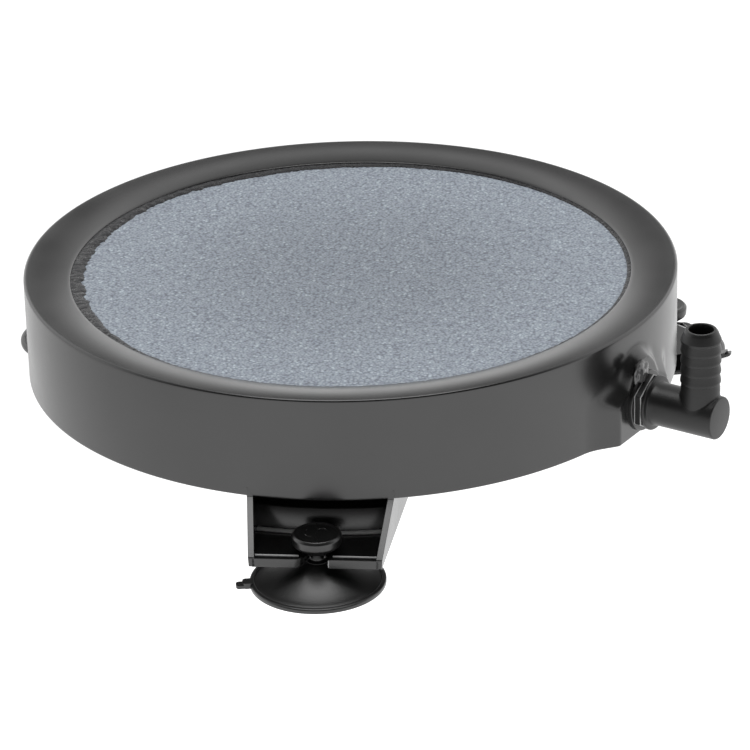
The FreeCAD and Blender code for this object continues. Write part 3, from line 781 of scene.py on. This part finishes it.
def sealant_ring():
    """Uneven ring of adhesive: it fills the gap and laps over the stone's edge."""
    steps, lap_steps = 1440, 6
    points = []
    for k in range(steps):
        t = TAU * k / steps
        width = sealant_width(t)
        ragged = noise.noise(Vector((24 * math.cos(t), 24 * math.sin(t), 0)))
        ragged += 0.6 * noise.noise(Vector((60 * math.cos(t), 60 * math.sin(t), 3)))
        inner = STONE_R - width * (1 + 0.28 * ragged)
        lumps = 0.08 * noise.noise(Vector((35 * math.cos(t), 35 * math.sin(t), 9)))
        section = [(inner, STONE_TOP - 0.1)]
        for j in range(1, lap_steps + 1):
            share = j / lap_steps
            r = inner + (SEAT_R - inner) * share
            rise = 0.18 + 0.32 * share + 0.25 * math.sin(math.pi * share) * min(width, 2) / 2
            lump = 0.12 * noise.noise(Vector((r * math.cos(t), r * math.sin(t), 0)) * 0.9)
            section.append((r, STONE_TOP + rise + lump + lumps))
        section += [
            (SEAT_R, LEDGE_Z),
            (LEDGE_R, LEDGE_Z),
            (LEDGE_R, STONE_BOTTOM),
            (STONE_R, STONE_BOTTOM),
            (STONE_R, STONE_TOP - 0.6),
        ]
        points += [(r * math.cos(t), r * math.sin(t), z) for r, z in section]
    return points, faces_around(steps, len(section))


# ---- suction cups ----
def cup_body():
    """Head, neck and flared cone with a beaded rim and the hollow under it, about Z."""
    cone = []
    for k in range(15):
        share = k / 14
        r = CONE_LOW_R - (CONE_LOW_R - CONE_HIGH_R) * share
        bulge = 0.25 * math.sin(math.pi * share)
        cone.append((r, CUP_RIM_T + 5.95 * share ** 1.35 + bulge))
    rim = rounded([
        (HOLLOW_R, 0.0, 0.0),
        (CUP_R, 0.0, 0.15),
        (CUP_R, CUP_RIM_T, 0.5),
        (18.5, 1.55, 0.4),
        (18.2, 1.1, 0.0),
    ], closed=False)
    upper = rounded([
        (CONE_HIGH_R, 7.3, 0.0),
        (NECK_R, 7.6, 0.4),
        (NECK_R, 9.7, 0.5),
        (3.6, 10.1, 0.8),
        (7.1, 12.7, 1.3),
        (7.25, 15.2, 0.7),
        (6.5, 16.0, 0.5),
        (5.6, HEAD_TOP - 0.05, 0.4),
        (0.0, HEAD_TOP, 0.0),
    ], closed=False, steps=5)
    roof = [(HOLLOW_R * k / 12, HOLLOW_TOP * (1 - (k / 12) ** 1.6)) for k in range(12)]
    return lathe(roof + rim + cone + upper, steps=192, closed=False)


def pull_tab(angle, reaches, bend):
    """Stepped tab that stands out from the cup's rim, bent up by an angle."""
    parts = []
    for reach, height, half in zip(reaches, (1.75, 1.0), (1.7, 1.5)):
        plan = rounded([
            (TAB_ROOT_R, -half, 0.0),
            (CUP_R + reach, -half, 1.0),
            (CUP_R + reach, half, 1.0),
            (TAB_ROOT_R, half, 0.0),
        ])
        parts.append(slab([(x, y, 0.05) for x, y in plan], [(x, y, height) for x, y in plan]))
    points, faces = joined(*parts)
    points = [(x, y, z + (x - TAB_ROOT_R) * math.tan(bend)) for x, y, z in points]
    return turned((points, faces), angle)


def flash_arc(x, y, radius_x, radius_y, start, end):
    """Path of a stray curl of flash on the head's face."""
    return [(x + radius_x * math.cos(t), y + radius_y * math.sin(t), HEAD_TOP)
            for t in np.linspace(start, end, 12)]


def head_marks():
    """Moulding seam and stray flash on the head's face."""
    seam = [(0.25 * math.sin(y), y, HEAD_TOP + 0.05) for y in np.linspace(-6.4, 6.4, 17)]
    return joined(
        ridge_along(seam, 0.22, 6),
        ridge_along(flash_arc(1.6, 1.2, 1.3, 1.7, 0.2, 3.6), 0.16, 6),
        ridge_along(flash_arc(-2.0, 0.4, 1.5, 2.2, 2.2, 5.0), 0.14, 6),
    )


def make_cups():
    for side in SIDES:
        tab = pull_tab(math.radians(TAB_ANGLE[side]), TAB_REACH[side],
                       math.radians(TAB_BEND[side]))
        cup = joined(cup_body(), tab, head_marks())
        cup = shifted(cup, CUP_AXIS[side].x, CUP_AXIS[side].y)
        piece("rubber_cup_" + side, cup, RUBBER, "cup_" + side,
              sharp=40, replaces=("suction_cup_" + side,))


# ---- inlet ----
def elbow_tube():
    """Shank, collar and closed tube, about Z."""
    return lathe(rounded([
        (0, SHANK_START, 0.0),
        (SHANK_R, SHANK_START, 0.4),
        (SHANK_R, 106.5, 0.0),
        (COLLAR_R, 106.6, 0.25),
        (COLLAR_R, 107.6, 0.35),
        (6.7, 107.8, 0.5),
        (TUBE_R, 110.0, 0.0),
        (TUBE_R, TUBE_END, 0.55),
        (0, TUBE_END + 0.05, 0.0),
    ], closed=False), steps=96, closed=False)


def spigot():
    """Stem, barbs, tip and bore, upright."""
    stem_low, bore_low = INLET_Z - 1, INLET_Z + 5
    outline = [(0.0, stem_low, 0.0), (STEM_R, stem_low, 0.0), (STEM_R, 39.6, 0.0)]
    for k in range(BARBS):
        crest = FIRST_CREST + BARB_PITCH * k
        outline.append((BARB_VALLEY_R, crest - 0.9, 0.12))
        outline.append((BARB_R, crest - 0.62, 0.15))
        outline.append((BARB_R, crest, 0.2))
    outline += [
        (5.05, 57.1, 0.5),
        (4.5, SPIGOT_TOP, 0.3),
        (SPIGOT_BORE_R + 0.05, SPIGOT_TOP, 0.2),
        (SPIGOT_BORE_R, bore_low, 0.0),
        (0.0, bore_low, 0.0),
    ]
    upright = lathe(rounded(outline, closed=False, steps=3), steps=96, closed=False)
    return shifted(upright, SPIGOT_AT * math.cos(INLET_ANGLE), SPIGOT_AT * math.sin(INLET_ANGLE))


def spigot_fillet():
    """Small hollow blend where the spigot leaves the tube."""
    blend = 0.7
    points = []
    steps, rows = 64, 6
    for k in range(steps):
        t = TAU * k / steps
        for i in range(rows):
            bow = i / (rows - 1) * math.pi / 2
            r = STEM_R - 0.15 + blend * (1 - math.cos(bow))
            y = r * math.sin(t)
            seat = math.sqrt(max(TUBE_R ** 2 - y ** 2, 0))
            rise = blend * (1 - math.sin(bow))
            points.append((SPIGOT_AT + r * math.cos(t), y, INLET_Z + seat + rise))
        root = STEM_R - 1
        points.append((SPIGOT_AT + root * math.cos(t), root * math.sin(t), INLET_Z))
    return turned((points, faces_around(steps, rows + 1)), INLET_ANGLE)


def hexagon(flats, height):
    """Corners of a hexagon at a height."""
    corner = flats / 2 / math.cos(math.pi / 6)
    return [(corner * math.cos(t), corner * math.sin(t), height)
            for t in (TAU * i / 6 for i in range(6))]


def hexagonal_nut(flats, low, high):
    """Hexagonal ring round the bore, about Z."""
    steps = 72
    section = [(BORE_R, low), (flats / 2, low), (flats / 2, high), (BORE_R, high)]
    points, faces = lathe(section, steps=steps)
    shaped = []
    for i, (x, y, z) in enumerate(points):
        across = (TAU * (i // 4) / steps) % (TAU / 6) - TAU / 12
        grow = 1 / math.cos(across) if i % 4 in (1, 2) else 1
        shaped.append((x * grow, y * grow, z))
    return shaped, faces


def sealant_lump(place=(-10.0, -3.0, 103.8), size=(3.7, 3.4, 1.3)):
    """Blob of adhesive squeezed out beside the nut, about Z."""
    points = []
    turns, rows = 36, 18
    for k in range(turns):
        for i in range(1, rows):
            a, b = TAU * k / turns, math.pi * i / rows
            spoke = Vector((math.sin(b) * math.cos(a), math.sin(b) * math.sin(a), math.cos(b)))
            swell = 1 + 0.45 * noise.noise(spoke * 1.6)
            points.append(tuple(p + s * d * swell for p, s, d in zip(place, size, spoke)))
    n = rows - 1
    faces = faces_around(turns, n, closed=False)
    faces.append(tuple(k * n for k in range(turns)))
    faces.append(tuple(k * n + n - 1 for k in reversed(range(turns))))
    return points, faces


def make_inlet():
    parts = joined(along_inlet(elbow_tube()), spigot(), spigot_fillet())
    piece("elbow", parts, FITTING, "elbow", replaces=("inlet_elbow",))
    nut = hexagonal_nut(NUT_FLATS, NUT_LOW, NUT_HIGH)
    piece("nut", along_inlet(nut), FITTING, "housing",
          bevel=0.3, replaces=("lock_nut",))
    gasket = lathe(rounded([
        (BORE_R, BOSS_FACE_R, 0.0),
        (GASKET_R, BOSS_FACE_R, 0.0),
        (GASKET_R, NUT_LOW, 0.3),
        (BORE_R, NUT_LOW, 0.0),
    ]), steps=72)
    piece("gasket", along_inlet(gasket), RUBBER, "housing",
          replaces=("inlet_gasket",))
    # Rings along the nut's two edges, coloured light as painted highlight.
    rings = []
    for height in (NUT_LOW + 0.1, NUT_HIGH - 0.1):
        ring = hexagon(NUT_FLATS - 0.25, height)
        rings.append(ridge_along(ring + ring[:2], 0.2))
    piece("nut_highlight_rings", along_inlet(joined(*rings)), EDGE_HIGHLIGHT, "housing",
          sharp=60)
    piece("sealant_lump", along_inlet(sealant_lump()), WET_SEALANT, "housing",
          sharp=180)


make_housing()
piece("porous_stone", stone_disc(), STONE, "housing",
      sharp=180, replaces=("stone_disc",))
piece("adhesive", sealant_ring(), SEALANT, "housing",
      sharp=60, replaces=("sealant_ring",))
make_cups()
make_inlet()


# ---- floor, light and camera ----
def make_floor():
    mesh = bpy.data.meshes.new("floor")
    h = FLOOR_SIZE / 2
    mesh.from_pydata([(-h, -h, 0), (h, -h, 0), (h, h, 0), (-h, h, 0)], [], [(0, 1, 2, 3)])
    floor = bpy.data.objects.new("floor", mesh)
    bpy.context.scene.collection.objects.link(floor)
    paint(floor, floor_material())


def soft_box(name, place, target, size, power):
    """Rectangular area light that faces a target; size is (width, depth) in metres."""
    light = bpy.data.lights.new(name, "AREA")
    light.shape = "RECTANGLE"
    light.size, light.size_y = size
    light.energy = power
    obj = bpy.data.objects.new(name, light)
    obj.location = place
    obj.rotation_euler = (Vector(target) - Vector(place)).to_track_quat("-Z", "Y").to_euler()
    bpy.context.scene.collection.objects.link(obj)


def make_world():
    """Bright low down all round, with a dim patch at the back above the horizon, dark high
    up at the front and dim overhead."""
    world = bpy.data.worlds.new("studio")
    world.use_nodes = True
    nodes, links = world.node_tree.nodes, world.node_tree.links
    background = nodes["Background"]
    background.inputs["Color"].default_value = (1, 1, 1, 1)
    coords = nodes.new("ShaderNodeTexCoord")
    axes = nodes.new("ShaderNodeSeparateXYZ")
    links.new(coords.outputs["Generated"], axes.inputs[0])
    patch = nodes.new("ShaderNodeVectorMath")
    patch.operation = "DOT_PRODUCT"
    patch.inputs[1].default_value = WORLD_PATCH_DIRECTION
    links.new(coords.outputs["Generated"], patch.inputs[0])
    around = to_range(nodes, links, patch.outputs["Value"],
                      WORLD_LEVEL, WORLD_PATCH, 0.97, 1.0)
    nearness = to_range(nodes, links, axes.outputs["Y"], 1.0, 0.0, -0.25, 0.05)
    height = to_range(nodes, links, axes.outputs["Z"], 0.0, 1.0, 0.10, 0.3)
    shade = nodes.new("ShaderNodeMath")
    shade.operation = "MULTIPLY"
    links.new(nearness.outputs["Result"], shade.inputs[0])
    links.new(height.outputs["Result"], shade.inputs[1])
    front = to_range(nodes, links, shade.outputs[0], 1.0, WORLD_SHADE)
    dome = to_range(nodes, links, axes.outputs["Z"], 1.0, WORLD_DOME, 0.62, 0.85)
    level = around.outputs["Result"]
    for factor in (front, dome):
        product = nodes.new("ShaderNodeMath")
        product.operation = "MULTIPLY"
        links.new(level, product.inputs[0])
        links.new(factor.outputs["Result"], product.inputs[1])
        level = product.outputs[0]
    links.new(level, background.inputs["Strength"])
    bpy.context.scene.world = world


def make_light():
    centre = Vector((AXIS.x, AXIS.y, RIM_Z * MM / 2))
    soft_box("overhead", centre + Vector(LIGHT_OFFSET), centre, LIGHT_SIZE, LIGHT_POWER)


def make_camera():
    """The camera stands in front, looks down and is tipped a little to one side."""
    data = bpy.data.cameras.new("camera")
    data.lens = CAMERA_LENS
    data.sensor_width = 36
    data.clip_end = 20
    camera = bpy.data.objects.new("camera", data)
    pitch, roll = math.radians(CAMERA_PITCH), math.radians(CAMERA_ROLL)
    forward = Vector((0, math.cos(pitch), -math.sin(pitch)))
    up = Vector((0, math.sin(pitch), math.cos(pitch)))
    right = Vector((1, 0, 0))
    tipped_right = math.cos(roll) * right + math.sin(roll) * up
    tipped_up = math.cos(roll) * up - math.sin(roll) * right
    turn = Matrix((tipped_right, tipped_up, -forward)).transposed()
    place = Vector((AXIS.x, AXIS.y, RIM_Z * MM)) + Vector(CAMERA_OFFSET)
    camera.matrix_world = Matrix.Translation(place) @ turn.to_4x4()
    bpy.context.scene.collection.objects.link(camera)
    bpy.context.scene.camera = camera


make_floor()
make_world()
make_light()
make_camera()
bpy.context.scene.view_settings.view_transform = "Standard"
